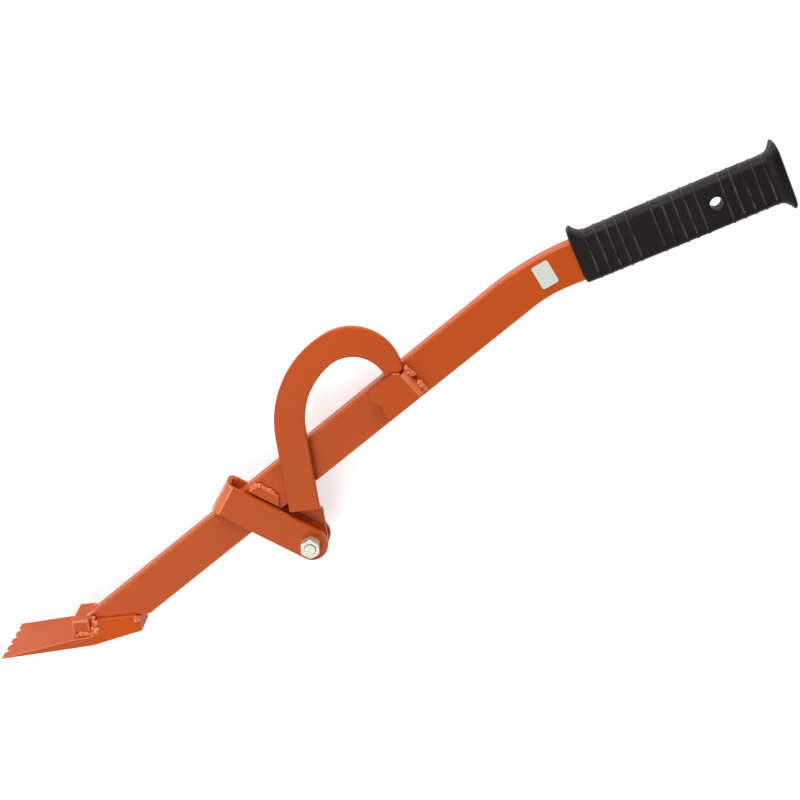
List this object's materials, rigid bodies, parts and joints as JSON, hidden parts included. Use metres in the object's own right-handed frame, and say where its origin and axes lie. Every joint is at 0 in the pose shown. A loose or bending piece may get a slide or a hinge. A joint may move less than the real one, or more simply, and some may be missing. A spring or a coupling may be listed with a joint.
{
  "type": "felling lever",
  "caption": "Orange steel felling lever with a toothed wedge foot, a sliding shackle, a turning hook held by a catch, and a black ribbed rubber grip.",
  "frame": {"origin": "middle of the bounding box's underside, the lever lying on its far side", "axes": "+X along the straight bar from the foot to the grip, +Y across the bar to its upper edge, +Z out of the side that carries the hook, so the lever lies flat"},
  "size_m": [0.8036, 0.1698, 0.065],
  "materials": {
    "orange": "glossy orange powder coat over steel",
    "zinc": "zinc plated, slightly dull",
    "nylon": "off-white nylon locking ring",
    "rubber": "matte black moulded rubber",
    "label": "satin blank sticker"
  },
  "bodies": {
    "lever": {"lever_bar": "orange", "foot_blade": "orange", "stop_block": "orange", "weld_seam_near": "orange", "weld_seam_far": "orange", "weld_bar_end_near": "orange", "weld_bar_end_far": "orange", "weld_stop_near": "orange", "weld_stop_far": "orange", "hook_catch": "orange", "weld_catch_upper": "orange", "weld_catch_lower": "orange", "stop_lug": "orange", "weld_lug_end": "orange", "weld_lug_side": "orange", "handle_grip": "rubber", "blank_label": "label"},
    "shackle": {"shackle_strap": "orange", "pivot_bolt": "zinc", "lock_nut": "zinc", "nut_insert": "nylon"},
    "hook": {"turning_hook": "orange"}
  },
  "joints": [
    {"name": "shackle_slide", "type": "slide", "parent": "lever", "child": "shackle", "axis": [-1, 0, 0], "range_m": [-0.002, 0.134]},
    {"name": "hook_swing", "type": "hinge", "parent": "shackle", "child": "hook", "pos_m": [-0.11581, -0.054, 0.0325], "axis": [0, 0, 1], "range_deg": [0, 5]}
  ]
}
